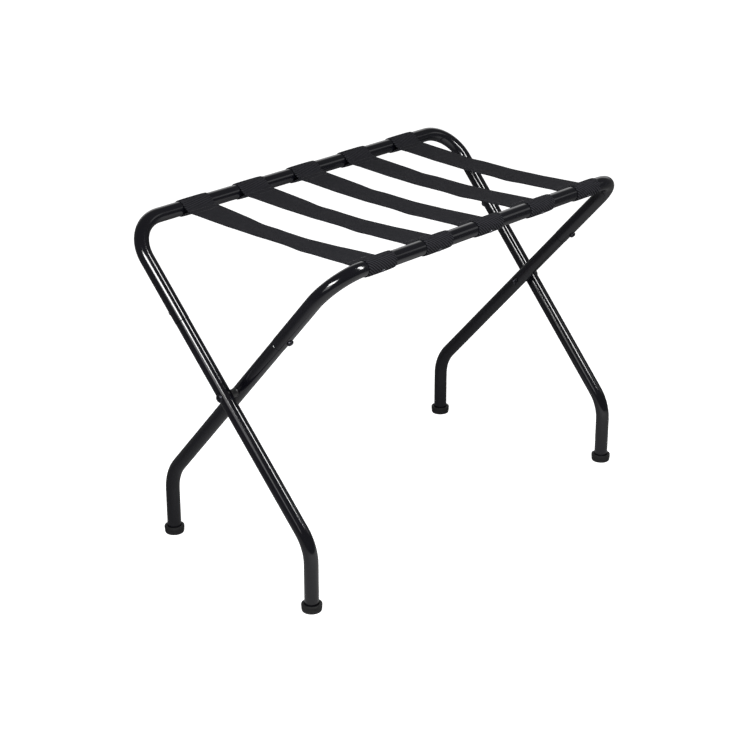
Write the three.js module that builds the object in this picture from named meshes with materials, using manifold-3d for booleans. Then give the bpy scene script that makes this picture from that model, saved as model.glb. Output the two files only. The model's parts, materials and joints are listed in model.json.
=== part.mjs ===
// Folding luggage rack: two bent-tube frames that cross like scissors, and webbing straps between their rails.
// Millimetres, +Z up. X runs along the rails, Y from the front rail to the back rail.
// The origin is on the floor, under the middle of the rack.

import * as THREE from "three";
import { mergeVertices } from "three/addons/utils/BufferGeometryUtils.js";
import Module from "manifold-3d";

const wasm = await Module();
wasm.setup();

// ---- Driving dimensions ----

// Frames, measured along each frame's own leg from the pivot
const PIVOT_HEIGHT = 285;
const TILT = THREE.MathUtils.degToRad(41.4);
const LEG_ABOVE_PIVOT = 286.6;
const LEG_BELOW_PIVOT = 246.5;
const LEG_LEAN = 9; // how far each leg leans inwards from rail to knee
const OUTER_HALF_WIDTH = 352; // at the rail corner, to the tube's axis
const INNER_HALF_WIDTH = 321;
const CORNER_RADIUS = 57;
const KNEE_RADIUS = 71;

// Tubes
const TUBE_RADIUS = 11;
const LEG_RADIUS = 10.7;
const TUBE_WALL = 1.2;
const GAP = 0.3; // between pieces that touch

// Slip joint between the rail tube and each leg tube
const JOINT_ALONG = 124.6; // height of the visible joint line above the pivot, along the leg
const NECK_LENGTH = 40;
const SCREW_ALONG = 144.6;
const SCREW_RADIUS = 3;
const HOLE_CLEARANCE = 0.4;
const INSERT_RADIUS = 4.8;
const INSERT_LENGTH = 8;

// Feet
const FOOT_RADIUS = 15.4;
const FOOT_HEIGHT = 12;
const FOOT_FLOOR = 4; // rubber under the end of the tube

// Straps
const STRAP_COUNT = 5;
const STRAP_PITCH = 114.5;
const STRAP_SHIFT = 4; // the set of straps sits a little to the right of the middle
const STRAP_WIDTH = 54.5;
const TIGHTEST_WAIST = 41; // the first strap's width at mid-span: it is pulled tightest
const LOOSEST_WAIST = 53;
const FRONT_LOOP_SLIP = [-9.5, -6.5, -9.3, -4.7, -7.2]; // how far each front loop has slid along its rail
const STRAP_THICK = 1.6;
const STRAP_SEAM = 22; // from the rail's axis to where the loop's two sides are sewn together
const SEAM_WEDGE = 5; // length of the closing wedge inside the loop
const SEAM_DROP = 4; // of the strap's middle plane below the rail's axis
const STRAP_DROP = 6;
const STRAP_FLAT_FROM = 130; // from the rail's axis

// Facets
const TUBE_SIDES = 20;
const BORE_SIDES = 14;
const BEND_STEPS = 7;
const KNEE_STEPS = 4;

// ---- Derived dimensions ----

const RAIL_Y = LEG_ABOVE_PIVOT * Math.sin(TILT);
const RAIL_Z = PIVOT_HEIGHT + LEG_ABOVE_PIVOT * Math.cos(TILT);
const KNEE_HEIGHT = PIVOT_HEIGHT - LEG_BELOW_PIVOT * Math.cos(TILT);
const LEG_LENGTH = LEG_ABOVE_PIVOT + LEG_BELOW_PIVOT;
const PIVOT_INSET = (LEG_LEAN * LEG_ABOVE_PIVOT) / LEG_LENGTH;
const DOWN = new THREE.Vector3(0, Math.sin(TILT), -Math.cos(TILT)); // straight down, seen from a tilted frame

// ---- Materials ----

function enamel() {
  return new THREE.MeshStandardMaterial({ color: 0x1c1b20, roughness: 0.22, metalness: 0.35 });
}

function blackSteel() {
  return new THREE.MeshStandardMaterial({ color: 0x121215, roughness: 0.35, metalness: 0.8 });
}

function plainSteel() {
  return new THREE.MeshStandardMaterial({ color: 0x9a9ca0, roughness: 0.4, metalness: 0.9 });
}

function rubber() {
  return new THREE.MeshStandardMaterial({ color: 0x151517, roughness: 0.75, metalness: 0 });
}

function nylon() {
  return new THREE.MeshStandardMaterial({ color: 0x161618, roughness: 0.55, metalness: 0 });
}

function webbing() {
  return new THREE.MeshStandardMaterial({ color: 0x242427, roughness: 0.92, metalness: 0 });
}

// ---- Solids ----

function solid(geometry) {
  const bare = geometry.clone();
  bare.deleteAttribute("normal");
  bare.deleteAttribute("uv");
  const merged = mergeVertices(bare, 1e-4);
  const mesh = new wasm.Mesh({
    numProp: 3,
    vertProperties: new Float32Array(merged.attributes.position.array),
    triVerts: new Uint32Array(merged.index.array),
  });
  return new wasm.Manifold(mesh);
}

function geometryOf(manifold) {
  const mesh = manifold.getMesh();
  const geometry = new THREE.BufferGeometry();
  geometry.setAttribute("position", new THREE.BufferAttribute(new Float32Array(mesh.vertProperties), 3));
  geometry.setIndex(new THREE.BufferAttribute(new Uint32Array(mesh.triVerts), 1));
  geometry.computeVertexNormals();
  return geometry;
}

function rod(radius, from, to, sides = BORE_SIDES) {
  const along = new THREE.Vector3().subVectors(to, from);
  const geometry = new THREE.CylinderGeometry(radius, radius, along.length(), sides);
  const turn = new THREE.Quaternion().setFromUnitVectors(new THREE.Vector3(0, 1, 0), along.clone().normalize());
  geometry.applyQuaternion(turn);
  const middle = new THREE.Vector3().addVectors(from, to).multiplyScalar(0.5);
  geometry.translate(middle.x, middle.y, middle.z);
  return geometry;
}

// A path of straight runs with round bends. Each straight takes one step and each bend takes a few.
class BentPath extends THREE.Curve {
  constructor(corners, radius, bendSteps) {
    super();
    this.stations = [];
    this.addStation(corners[0], this.direction(corners[0], corners[1]));
    for (let i = 1; i < corners.length - 1; i += 1) {
      this.addBend(corners[i - 1], corners[i], corners[i + 1], radius, bendSteps);
    }
    const last = corners.length - 1;
    this.addStation(corners[last], this.direction(corners[last - 1], corners[last]));
  }

  direction(from, to) {
    return new THREE.Vector3().subVectors(to, from).normalize();
  }

  addStation(point, tangent) {
    this.stations.push({ point: point.clone(), tangent: tangent.clone() });
  }

  addBend(before, corner, after, radius, steps) {
    const into = this.direction(before, corner);
    const away = this.direction(corner, after);
    const angle = into.angleTo(away);
    const setback = radius * Math.tan(angle / 2);
    const start = corner.clone().addScaledVector(into, -setback);
    const axis = new THREE.Vector3().crossVectors(into, away).normalize();
    const toCentre = new THREE.Vector3().crossVectors(axis, into);
    const centre = start.clone().addScaledVector(toCentre, radius);
    for (let i = 0; i <= steps; i += 1) {
      const turn = (angle * i) / steps;
      const arm = start.clone().sub(centre).applyAxisAngle(axis, turn);
      this.addStation(centre.clone().add(arm), into.clone().applyAxisAngle(axis, turn));
    }
  }

  stationAt(u) {
    return this.stations[Math.round(u * (this.stations.length - 1))];
  }

  getPointAt(u) {
    return this.stationAt(u).point.clone();
  }

  getTangentAt(u) {
    return this.stationAt(u).tangent.clone();
  }

  getSpacedPoints() {
    return this.stations.map((station) => station.point.clone());
  }
}

function disc(radius, sides) {
  const points = [];
  for (let i = 0; i < sides; i += 1) {
    const angle = (2 * Math.PI * i) / sides;
    points.push(new THREE.Vector2(radius * Math.cos(angle), radius * Math.sin(angle)));
  }
  return new THREE.Shape(points);
}

function bentRod(path, radius, sides) {
  return new THREE.ExtrudeGeometry(disc(radius, sides), {
    extrudePath: path,
    steps: path.stations.length - 1,
    bevelEnabled: false,
  });
}

function turned(profile, sides) {
  const points = profile.map(([radius, height]) => new THREE.Vector2(radius, height));
  const geometry = new THREE.LatheGeometry(points, sides);
  geometry.rotateX(Math.PI / 2);
  return geometry;
}

// ---- One frame, standing upright in the XZ plane with its pivot at the origin ----

function legPoint(halfWidth, side, along) {
  const inset = (LEG_LEAN * (LEG_ABOVE_PIVOT - along)) / LEG_LENGTH;
  return new THREE.Vector3(side * (halfWidth - inset), 0, along);
}

// The screw comes in from the frame's underside, which faces +Y here.
function screwHole(halfWidth, side) {
  const onAxis = legPoint(halfWidth, side, SCREW_ALONG);
  const outside = onAxis.clone().setY(TUBE_RADIUS + 5);
  return solid(rod(SCREW_RADIUS + HOLE_CLEARANCE, onAxis, outside));
}

function pivotHole(halfWidth, side) {
  const onAxis = legPoint(halfWidth, side, 0);
  const from = onAxis.clone().setX(onAxis.x - 20);
  const to = onAxis.clone().setX(onAxis.x + 20);
  return solid(rod(SCREW_RADIUS + HOLE_CLEARANCE, from, to));
}

function railTube(halfWidth) {
  const corners = (low) => [
    legPoint(halfWidth, -1, low),
    legPoint(halfWidth, -1, LEG_ABOVE_PIVOT),
    legPoint(halfWidth, 1, LEG_ABOVE_PIVOT),
    legPoint(halfWidth, 1, low),
  ];
  const outside = new BentPath(corners(JOINT_ALONG), CORNER_RADIUS, BEND_STEPS);
  const inside = new BentPath(corners(JOINT_ALONG - 2), CORNER_RADIUS, BEND_STEPS);
  const body = solid(bentRod(outside, TUBE_RADIUS, TUBE_SIDES));
  const bore = solid(bentRod(inside, TUBE_RADIUS - TUBE_WALL, BORE_SIDES));
  const tube = body.subtract(bore).subtract(screwHole(halfWidth, -1)).subtract(screwHole(halfWidth, 1));
  return new THREE.Mesh(geometryOf(tube), enamel());
}

function footPoint(halfWidth, side, height) {
  const knee = legPoint(halfWidth, side, -LEG_BELOW_PIVOT);
  return knee.addScaledVector(DOWN, KNEE_HEIGHT - height);
}

function legTube(halfWidth, side) {
  const top = JOINT_ALONG - GAP;
  const neckRadius = TUBE_RADIUS - TUBE_WALL - GAP;
  const knee = legPoint(halfWidth, side, -LEG_BELOW_PIVOT);
  const path = (high, low) => {
    const ends = [legPoint(halfWidth, side, high), knee, footPoint(halfWidth, side, low)];
    return new BentPath(ends, KNEE_RADIUS, KNEE_STEPS);
  };
  const leg = solid(bentRod(path(top, FOOT_FLOOR), LEG_RADIUS, TUBE_SIDES));
  const bore = solid(bentRod(path(top - 5, FOOT_FLOOR - 2), LEG_RADIUS - TUBE_WALL, BORE_SIDES));
  const neckTop = JOINT_ALONG + NECK_LENGTH;
  const neck = rod(neckRadius, legPoint(halfWidth, side, top - 3), legPoint(halfWidth, side, neckTop), TUBE_SIDES);
  const neckBore = rod(
    neckRadius - TUBE_WALL,
    legPoint(halfWidth, side, top - 8),
    legPoint(halfWidth, side, neckTop + 2),
  );
  const tube = leg
    .add(solid(neck))
    .subtract(bore)
    .subtract(solid(neckBore))
    .subtract(screwHole(halfWidth, side))
    .subtract(pivotHole(halfWidth, side));
  return new THREE.Mesh(geometryOf(tube), enamel());
}

// ---- Fasteners ----

function socketHead(headRadius, headHeight, shankLength) {
  const rim = 0.35 * headHeight;
  const profile = [
    [0, -shankLength],
    [SCREW_RADIUS, -shankLength],
    [SCREW_RADIUS, 0],
    [headRadius, 0],
    [headRadius, rim],
    [0.82 * headRadius, 0.8 * headHeight],
    [0.55 * headRadius, headHeight],
    [0, headHeight],
  ];
  const socket = new THREE.CylinderGeometry(2.3, 2.3, headHeight, 6);
  socket.rotateX(Math.PI / 2);
  socket.translate(0, 0, headHeight);
  return solid(turned(profile, 16)).subtract(solid(socket));
}

// Joint screw with a washer face under its head, pointing along +Y from the tube's underside
function jointScrew(halfWidth, side) {
  const mesh = new THREE.Mesh(geometryOf(socketHead(5.4, 3.6, 13)), blackSteel());
  mesh.rotation.x = -Math.PI / 2;
  mesh.position.copy(legPoint(halfWidth, side, SCREW_ALONG)).setY(TUBE_RADIUS + GAP);
  return mesh;
}

// Threaded insert that the joint screw pulls against the inside of the neck
function insertNut(halfWidth, side) {
  const seat = TUBE_RADIUS - 2 * TUBE_WALL - 2 * GAP - 1.8;
  const place = legPoint(halfWidth, side, SCREW_ALONG);
  const body = rod(INSERT_RADIUS, place.clone().setY(seat - INSERT_LENGTH), place.clone().setY(seat), 12);
  const thread = rod(
    SCREW_RADIUS + GAP,
    place.clone().setY(seat - INSERT_LENGTH - 1),
    place.clone().setY(seat + 1),
    12,
  );
  return new THREE.Mesh(geometryOf(solid(body).subtract(solid(thread))), plainSteel());
}

function pivotX(halfWidth) {
  return halfWidth - PIVOT_INSET;
}

// Pivot bolt from the outer face of the outer leg to just inside the cap nut on the inner leg
function pivotBolt(side) {
  const headSeat = pivotX(OUTER_HALF_WIDTH) + LEG_RADIUS + GAP;
  const shankEnd = pivotX(INNER_HALF_WIDTH) - LEG_RADIUS - 4;
  const mesh = new THREE.Mesh(geometryOf(socketHead(6.6, 3, headSeat - shankEnd)), blackSteel());
  mesh.rotation.y = (side * Math.PI) / 2;
  mesh.position.set(side * headSeat, 0, PIVOT_HEIGHT);
  return mesh;
}

function pivotNut(side) {
  const hex = new THREE.CylinderGeometry(5.8, 5.8, 3.6, 6);
  hex.rotateX(Math.PI / 2);
  hex.translate(0, 0, 2.6);
  const flange = turned([[0, 0], [6.5, 0], [6.5, 1.2], [0, 1.2]], 16);
  const dome = turned([[0, 3], [4.9, 3], [4.4, 5.2], [2.4, 6.6], [0, 6.9]], 16);
  const thread = new THREE.CylinderGeometry(SCREW_RADIUS + GAP, SCREW_RADIUS + GAP, 10, BORE_SIDES);
  thread.rotateX(Math.PI / 2);
  const body = solid(hex).add(solid(flange)).add(solid(dome)).subtract(solid(thread));
  const mesh = new THREE.Mesh(geometryOf(body), blackSteel());
  mesh.rotation.y = (-side * Math.PI) / 2;
  mesh.position.set(side * (pivotX(INNER_HALF_WIDTH) - LEG_RADIUS - GAP), 0, PIVOT_HEIGHT);
  return mesh;
}

// Spacer between the two legs: flat against the inner leg, hollowed to fit round the outer leg
function pivotSpacer(side) {
  const flat = pivotX(INNER_HALF_WIDTH) + LEG_RADIUS + GAP;
  const deep = pivotX(OUTER_HALF_WIDTH) - LEG_RADIUS + 4;
  const body = rod(8, new THREE.Vector3(side * flat, 0, 0), new THREE.Vector3(side * deep, 0, 0), 20);
  const legAround = rod(
    LEG_RADIUS + GAP,
    legPoint(OUTER_HALF_WIDTH, side, -30),
    legPoint(OUTER_HALF_WIDTH, side, 30),
    TUBE_SIDES,
  );
  const hole = rod(
    SCREW_RADIUS + GAP,
    new THREE.Vector3(side * (flat - 1), 0, 0),
    new THREE.Vector3(side * (deep + 1), 0, 0),
  );
  const spacer = solid(body).subtract(solid(legAround)).subtract(solid(hole));
  const mesh = new THREE.Mesh(geometryOf(spacer), nylon());
  mesh.rotation.x = -TILT;
  mesh.position.z = PIVOT_HEIGHT;
  return mesh;
}

// ---- Feet ----

// Ribbed rubber cup over the end of the leg, a little wider at its rim
function foot(halfWidth, side) {
  const socket = LEG_RADIUS + GAP;
  const profile = [
    [0, 0],
    [FOOT_RADIUS - 1.9, 0],
    [FOOT_RADIUS - 0.8, 1.2],
    [FOOT_RADIUS - 0.5, 3.2],
    [FOOT_RADIUS - 0.9, 3.5],
    [FOOT_RADIUS - 0.9, 4],
    [FOOT_RADIUS - 0.3, 4.3],
    [FOOT_RADIUS - 0.2, 6.3],
    [FOOT_RADIUS - 0.7, 6.6],
    [FOOT_RADIUS - 0.7, 7.1],
    [FOOT_RADIUS - 0.1, 7.4],
    [FOOT_RADIUS, FOOT_HEIGHT - 1.4],
    [FOOT_RADIUS - 1.2, FOOT_HEIGHT],
    [socket, FOOT_HEIGHT],
    [socket, FOOT_FLOOR - GAP],
    [0, FOOT_FLOOR - GAP],
  ];
  const mesh = new THREE.Mesh(turned(profile, TUBE_SIDES), rubber());
  mesh.rotation.x = TILT;
  mesh.position.copy(footPoint(halfWidth, side, 0));
  return mesh;
}

// ---- Straps ----

// Points of an arc about the origin, from angle a to angle b in degrees
function arc(radius, a, b, steps) {
  const points = [];
  for (let i = 0; i <= steps; i += 1) {
    const angle = THREE.MathUtils.degToRad(a + ((b - a) * i) / steps);
    points.push(new THREE.Vector2(radius * Math.cos(angle), radius * Math.sin(angle)));
  }
  return points;
}

// Angles at which lines from a point touch a circle about the origin, above and below, in degrees
function tangentAngles(radius, point) {
  const bearing = Math.atan2(point.y, point.x);
  const spread = Math.acos(radius / point.length());
  return [bearing + spread, bearing - spread].map(THREE.MathUtils.radToDeg);
}

// Side view of half a strap: a loop round the rail at the origin, sewn together, then a band to mid-span
function strapSection() {
  const half = STRAP_THICK / 2;
  const inner = TUBE_RADIUS + GAP;
  const outer = inner + STRAP_THICK;
  const tip = RAIL_Y - GAP / 2;
  const seamTop = new THREE.Vector2(STRAP_SEAM, half - SEAM_DROP);
  const seamBottom = new THREE.Vector2(STRAP_SEAM, -half - SEAM_DROP);
  const crotch = new THREE.Vector2(STRAP_SEAM - SEAM_WEDGE, -SEAM_DROP);
  const above = tangentAngles(outer, seamTop)[0];
  const below = tangentAngles(outer, seamBottom)[1];
  const outline = new THREE.Shape([
    new THREE.Vector2(tip, half - STRAP_DROP),
    new THREE.Vector2(STRAP_FLAT_FROM, half - STRAP_DROP),
    seamTop,
    ...arc(outer, above, 360 + below, 14),
    seamBottom,
    new THREE.Vector2(STRAP_FLAT_FROM, -half - STRAP_DROP),
    new THREE.Vector2(tip, -half - STRAP_DROP),
  ]);
  const [high, low] = tangentAngles(inner, crotch);
  outline.holes.push(new THREE.Path([crotch, ...arc(inner, high, 360 + low, 14)]));
  return outline;
}

// Width of a strap at mid-span
function strapWaist(index) {
  const slack = (STRAP_COUNT - index) / (STRAP_COUNT - 1);
  return LOOSEST_WAIST + (TIGHTEST_WAIST - LOOSEST_WAIST) * slack ** 1.6;
}

// Plan of half a strap: full width round the rail, drawn in towards mid-span
function strapPlan(waist) {
  const steps = 6;
  const edge = [new THREE.Vector2(-20, STRAP_WIDTH / 2), new THREE.Vector2(20, STRAP_WIDTH / 2)];
  for (let i = 1; i <= steps; i += 1) {
    const share = i / steps;
    const ease = (1 - Math.cos(Math.PI * share)) / 2;
    const width = STRAP_WIDTH + (waist - STRAP_WIDTH) * ease;
    edge.push(new THREE.Vector2(20 + (RAIL_Y + 5 - 20) * share, width / 2));
  }
  const mirrored = edge.map((point) => new THREE.Vector2(point.x, -point.y)).reverse();
  return new THREE.Shape([...edge, ...mirrored]);
}

// Half a strap on the rail at the origin, running along +X of its own frame and drifting towards +Y
function halfStrapGeometry(waist, drift) {
  const section = new THREE.ExtrudeGeometry(strapSection(), { depth: STRAP_WIDTH + 4, bevelEnabled: false });
  section.translate(0, 0, -STRAP_WIDTH / 2 - 2);
  section.rotateX(Math.PI / 2);
  const plan = new THREE.ExtrudeGeometry(strapPlan(waist), { depth: 40, bevelEnabled: false });
  plan.translate(0, 0, -20);
  const geometry = geometryOf(solid(section).intersect(solid(plan)));
  geometry.applyMatrix4(new THREE.Matrix4().makeShear(drift / RAIL_Y, 0, 0, 0, 0, 0));
  return geometry;
}

function halfStrap(index, towards) {
  const slip = FRONT_LOOP_SLIP[index - 1];
  const mesh = new THREE.Mesh(halfStrapGeometry(strapWaist(index), slip / 2), webbing());
  const x = STRAP_SHIFT + STRAP_PITCH * (index - (STRAP_COUNT + 1) / 2) + (towards > 0 ? slip : 0);
  mesh.rotation.z = (towards * Math.PI) / 2;
  mesh.position.set(x, -towards * RAIL_Y, RAIL_Z);
  return mesh;
}

// ---- Assembly ----

function named(name, mesh) {
  mesh.name = name;
  return mesh;
}

function frame(label, halfWidth, sides) {
  const group = new THREE.Group();
  group.add(named(`${label}_rail_tube`, railTube(halfWidth)));
  for (const [sideName, side] of sides) {
    group.add(
      named(`${label}_leg_${sideName}`, legTube(halfWidth, side)),
      named(`${label}_joint_screw_${sideName}`, jointScrew(halfWidth, side)),
      named(`${label}_insert_nut_${sideName}`, insertNut(halfWidth, side)),
      named(`${label}_foot_${sideName}`, foot(halfWidth, side)),
    );
  }
  group.rotation.x = -TILT;
  const turntable = new THREE.Group();
  turntable.add(group);
  turntable.position.z = PIVOT_HEIGHT;
  return turntable;
}

const rack = new THREE.Group();

// The outer frame carries the back rail and stands on the front feet.
rack.add(frame("outer", OUTER_HALF_WIDTH, [["left", -1], ["right", 1]]));

// The inner frame is the same shape, narrower and turned half way round.
const innerFrame = frame("inner", INNER_HALF_WIDTH, [["left", 1], ["right", -1]]);
innerFrame.rotation.z = Math.PI;
rack.add(innerFrame);

for (const [sideName, side] of [["left", -1], ["right", 1]]) {
  rack.add(
    named(`pivot_bolt_${sideName}`, pivotBolt(side)),
    named(`pivot_nut_${sideName}`, pivotNut(side)),
    named(`pivot_spacer_${sideName}`, pivotSpacer(side)),
  );
}

for (let index = 1; index <= STRAP_COUNT; index += 1) {
  rack.add(named(`strap_${index}_back`, halfStrap(index, -1)));
  rack.add(named(`strap_${index}_front`, halfStrap(index, 1)));
}

export default rack;
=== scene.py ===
import json
import math

import bmesh
import bpy
from mathutils import Matrix, Vector


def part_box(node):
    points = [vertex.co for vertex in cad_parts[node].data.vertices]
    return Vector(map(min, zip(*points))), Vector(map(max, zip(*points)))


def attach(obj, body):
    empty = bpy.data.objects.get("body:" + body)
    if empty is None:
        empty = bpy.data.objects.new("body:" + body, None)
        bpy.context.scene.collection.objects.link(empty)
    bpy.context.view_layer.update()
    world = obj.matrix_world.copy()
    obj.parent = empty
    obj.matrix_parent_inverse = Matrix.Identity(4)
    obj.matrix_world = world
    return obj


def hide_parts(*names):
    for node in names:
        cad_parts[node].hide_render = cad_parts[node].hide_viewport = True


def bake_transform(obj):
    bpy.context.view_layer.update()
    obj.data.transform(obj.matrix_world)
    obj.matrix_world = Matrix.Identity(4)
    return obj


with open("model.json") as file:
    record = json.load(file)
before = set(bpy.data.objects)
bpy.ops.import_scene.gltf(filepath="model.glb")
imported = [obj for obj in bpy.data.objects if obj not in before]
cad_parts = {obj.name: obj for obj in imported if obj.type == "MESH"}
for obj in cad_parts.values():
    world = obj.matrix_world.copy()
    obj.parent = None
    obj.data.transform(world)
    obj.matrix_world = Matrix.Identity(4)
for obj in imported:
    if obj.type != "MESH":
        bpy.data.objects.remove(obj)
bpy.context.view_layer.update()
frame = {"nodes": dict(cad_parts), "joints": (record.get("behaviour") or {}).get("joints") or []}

# Folding luggage rack. Metres, +Z up: X runs along the rails and Y from the front rail to the back rail.

MM = 0.001
JOINTS = {joint["name"]: joint for joint in frame["joints"]}
PIVOT = Vector(JOINTS["fold"]["pos_m"])
BACK_RAIL = Vector(JOINTS["back_strap_hang"]["pos_m"])
FRONT_RAIL = Vector(JOINTS["front_strap_hang"]["pos_m"])

# Frames, measured along each frame's own leg from the pivot
TILT = math.atan2(BACK_RAIL.y - PIVOT.y, BACK_RAIL.z - PIVOT.z)
LEG_ABOVE_PIVOT = (BACK_RAIL - PIVOT).length
LEG_BELOW_PIVOT = 246.5 * MM
LEG_LEAN = 9 * MM
OUTER_HALF_WIDTH = 352 * MM
INNER_HALF_WIDTH = 321 * MM
CORNER_RADIUS = 57 * MM
KNEE_RADIUS = 71 * MM

# Tubes
TUBE_RADIUS = 11 * MM
LEG_RADIUS = 10.7 * MM
TUBE_WALL = 1.2 * MM
JOINT_ALONG = 124.6 * MM
JOINT_GAP = 0.5 * MM
NECK_LENGTH = 40 * MM
SLIP_GAP = 0.3 * MM
SCREW_ALONG = 144.6 * MM
TUBE_SIDES = 48
TUBE_CREASE = 20  # degrees: the rims of a tube's ends stay sharp, so that its long sides shine straight

# Feet
FOOT_RADIUS = 15.4 * MM
FOOT_HEIGHT = 12 * MM
FOOT_FLOOR = 4 * MM

# Straps
STRAP_COUNT = 5
STRAP_PITCH = 114.5 * MM
STRAP_SHIFT = 4 * MM
STRAP_WIDTH = 54.5 * MM
STRAP_THICK = 1.6 * MM
STRAP_SEAM = 19 * MM  # where the loop's two plies meet
STRAP_TAIL = 38 * MM  # end of the ply that is sewn underneath
SEAM_DROP = 1.2 * MM
STRAP_DROP = 6 * MM
STRAP_FLAT_FROM = 130 * MM
TIGHTEST_WAIST = 41 * MM  # of the first strap, which is pulled tightest
LOOSEST_WAIST = 53 * MM
NARROWS_FROM = 20 * MM  # from the rail's axis
# Of each front loop along its rail
FRONT_LOOP_SLIP = [-9.5 * MM, -6.5 * MM, -9.3 * MM, -4.7 * MM, -7.2 * MM]
LOOP_CLEARANCE = 0.25 * MM
STIFFNESS = 9  # rounds of smoothing at the strap's corners
RIVET_BELOW = 33  # degrees below level, on the outside of the loop

# Fasteners
SEAT_GAP = 0.05 * MM
SADDLE_DEPTH = 4 * MM  # of the spacer's hollow round the outer leg
NUT_THREAD = 4 * MM  # of the pivot bolt inside its cap nut

# Studio
PAPER_CENTRE = (-0.2, -1, 0)
BEHIND_RACK = (0.737, 0.676, 0)
CAMERA_PLACE = (-2.0536, -1.8640, 1.3684)
CAMERA_DIP = 22.647  # degrees
CAMERA_TURN = -47.299
CAMERA_LENS = 92.734

LEG_LENGTH = LEG_ABOVE_PIVOT + LEG_BELOW_PIVOT
KNEE_HEIGHT = PIVOT.z - LEG_BELOW_PIVOT * math.cos(TILT)
PIVOT_INSET = LEG_LEAN * LEG_ABOVE_PIVOT / LEG_LENGTH


# ---- Finishes ----


def linear(colour):
    """An sRGB hex colour as linear RGBA."""
    channels = [int(colour[i : i + 2], 16) / 255 for i in (1, 3, 5)]
    return [c / 12.92 if c <= 0.04045 else ((c + 0.055) / 1.055) ** 2.4 for c in channels] + [1]


def node(tree, kind, inputs=None, **settings):
    """Adds a node with its settings, and fills its inputs with values or with other nodes' outputs."""
    made = tree.nodes.new(kind)
    for key, value in settings.items():
        setattr(made, key, value)
    for key, value in (inputs or {}).items():
        if isinstance(value, bpy.types.NodeSocket):
            tree.links.new(value, made.inputs[key])
        else:
            made.inputs[key].default_value = value
    return made


def new_finish(name, **sockets):
    """A material with one shader whose uniform values are set on its own sockets."""
    material = bpy.data.materials.new(name)
    material.use_nodes = True
    tree = material.node_tree
    shader = tree.nodes["Principled BSDF"]
    for key, value in sockets.items():
        shader.inputs[key.replace("_", " ").title().replace("Ior", "IOR")].default_value = value
    return material, tree, shader


def connect(tree, shader, colour, rough, bump=None):
    tree.links.new(colour.outputs["Result"], shader.inputs["Base Color"])
    tree.links.new(rough.outputs["Result"], shader.inputs["Roughness"])
    if bump:
        tree.links.new(bump.outputs["Normal"], shader.inputs["Normal"])


def gloss_enamel():
    """Black enamel, baked on steel tube: a deep wet gloss with a cool cast and a faint orange peel."""
    material, tree, shader = new_finish("gloss_enamel", ior=1.5)
    place = node(tree, "ShaderNodeTexCoord").outputs["Object"]
    # Orange peel is about 3 mm across
    peel = node(tree, "ShaderNodeTexNoise", {"Vector": place, "Scale": 1 / (3 * MM), "Detail": 1.5})
    # Handling leaves patches the size of a palm that are a little duller
    patches = node(tree, "ShaderNodeTexNoise", {"Vector": place, "Scale": 1 / (70 * MM), "Detail": 4})
    flecks = node(tree, "ShaderNodeTexNoise", {"Vector": place, "Scale": 1 / (1.6 * MM), "Detail": 3})
    dust = node(
        tree,
        "ShaderNodeMapRange",
        {"Value": flecks.outputs["Fac"], "From Min": 0.66, "From Max": 0.8, "To Min": 0, "To Max": 0.3},
    )
    paint = node(
        tree,
        "ShaderNodeMix",
        {"Factor": patches.outputs["Fac"], "A": linear("#060609"), "B": linear("#0c0c11")},
        data_type="RGBA",
    )
    dusty = node(
        tree,
        "ShaderNodeMix",
        {"Factor": dust.outputs["Result"], "A": paint.outputs["Result"], "B": linear("#2a2a30")},
        data_type="RGBA",
    )
    dull = node(
        tree,
        "ShaderNodeMapRange",
        {
            "Value": patches.outputs["Fac"],
            "From Min": 0.3,
            "From Max": 0.7,
            "To Min": 0.1,
            "To Max": 0.13,
        },
    )
    bump = node(
        tree,
        "ShaderNodeBump",
        {"Height": peel.outputs["Fac"], "Strength": 0.03, "Distance": 0.01 * MM},
    )
    connect(tree, shader, dusty, dull, bump)
    return material


def black_oxide_steel():
    """Black-oxide steel screws and nuts: an oily half shine, rubbed paler where a key has turned."""
    material, tree, shader = new_finish("black_oxide_steel", metallic=1)
    place = node(tree, "ShaderNodeTexCoord").outputs["Object"]
    # The oxide mottles over about 2 mm
    mottle = node(tree, "ShaderNodeTexNoise", {"Vector": place, "Scale": 1 / (2 * MM), "Detail": 4})
    scuffs = node(
        tree,
        "ShaderNodeTexNoise",
        {"Vector": place, "Scale": 1 / (0.7 * MM), "Detail": 2, "Distortion": 1.5},
    )
    colour = node(
        tree,
        "ShaderNodeMix",
        {"Factor": mottle.outputs["Fac"], "A": linear("#2a2a2e"), "B": linear("#4a4a50")},
        data_type="RGBA",
    )
    rough = node(
        tree,
        "ShaderNodeMapRange",
        {
            "Value": scuffs.outputs["Fac"],
            "From Min": 0.3,
            "From Max": 0.7,
            "To Min": 0.22,
            "To Max": 0.42,
        },
    )
    bump = node(
        tree,
        "ShaderNodeBump",
        {"Height": scuffs.outputs["Fac"], "Strength": 0.2, "Distance": 0.05 * MM},
    )
    connect(tree, shader, colour, rough, bump)
    return material


def black_nickel():
    """Black-nickel plated rivets: a dark bright plating, with fine scratches from wear."""
    material, tree, shader = new_finish("black_nickel", metallic=1)
    place = node(tree, "ShaderNodeTexCoord").outputs["Object"]
    scratches = node(
        tree,
        "ShaderNodeTexNoise",
        {"Vector": place, "Scale": 1 / (0.5 * MM), "Detail": 3, "Distortion": 2},
    )
    colour = node(
        tree,
        "ShaderNodeMix",
        {"Factor": scratches.outputs["Fac"], "A": linear("#58585e"), "B": linear("#86868c")},
        data_type="RGBA",
    )
    rough = node(
        tree,
        "ShaderNodeMapRange",
        {"Value": scratches.outputs["Fac"], "To Min": 0.1, "To Max": 0.3},
    )
    connect(tree, shader, colour, rough)
    return material


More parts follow.
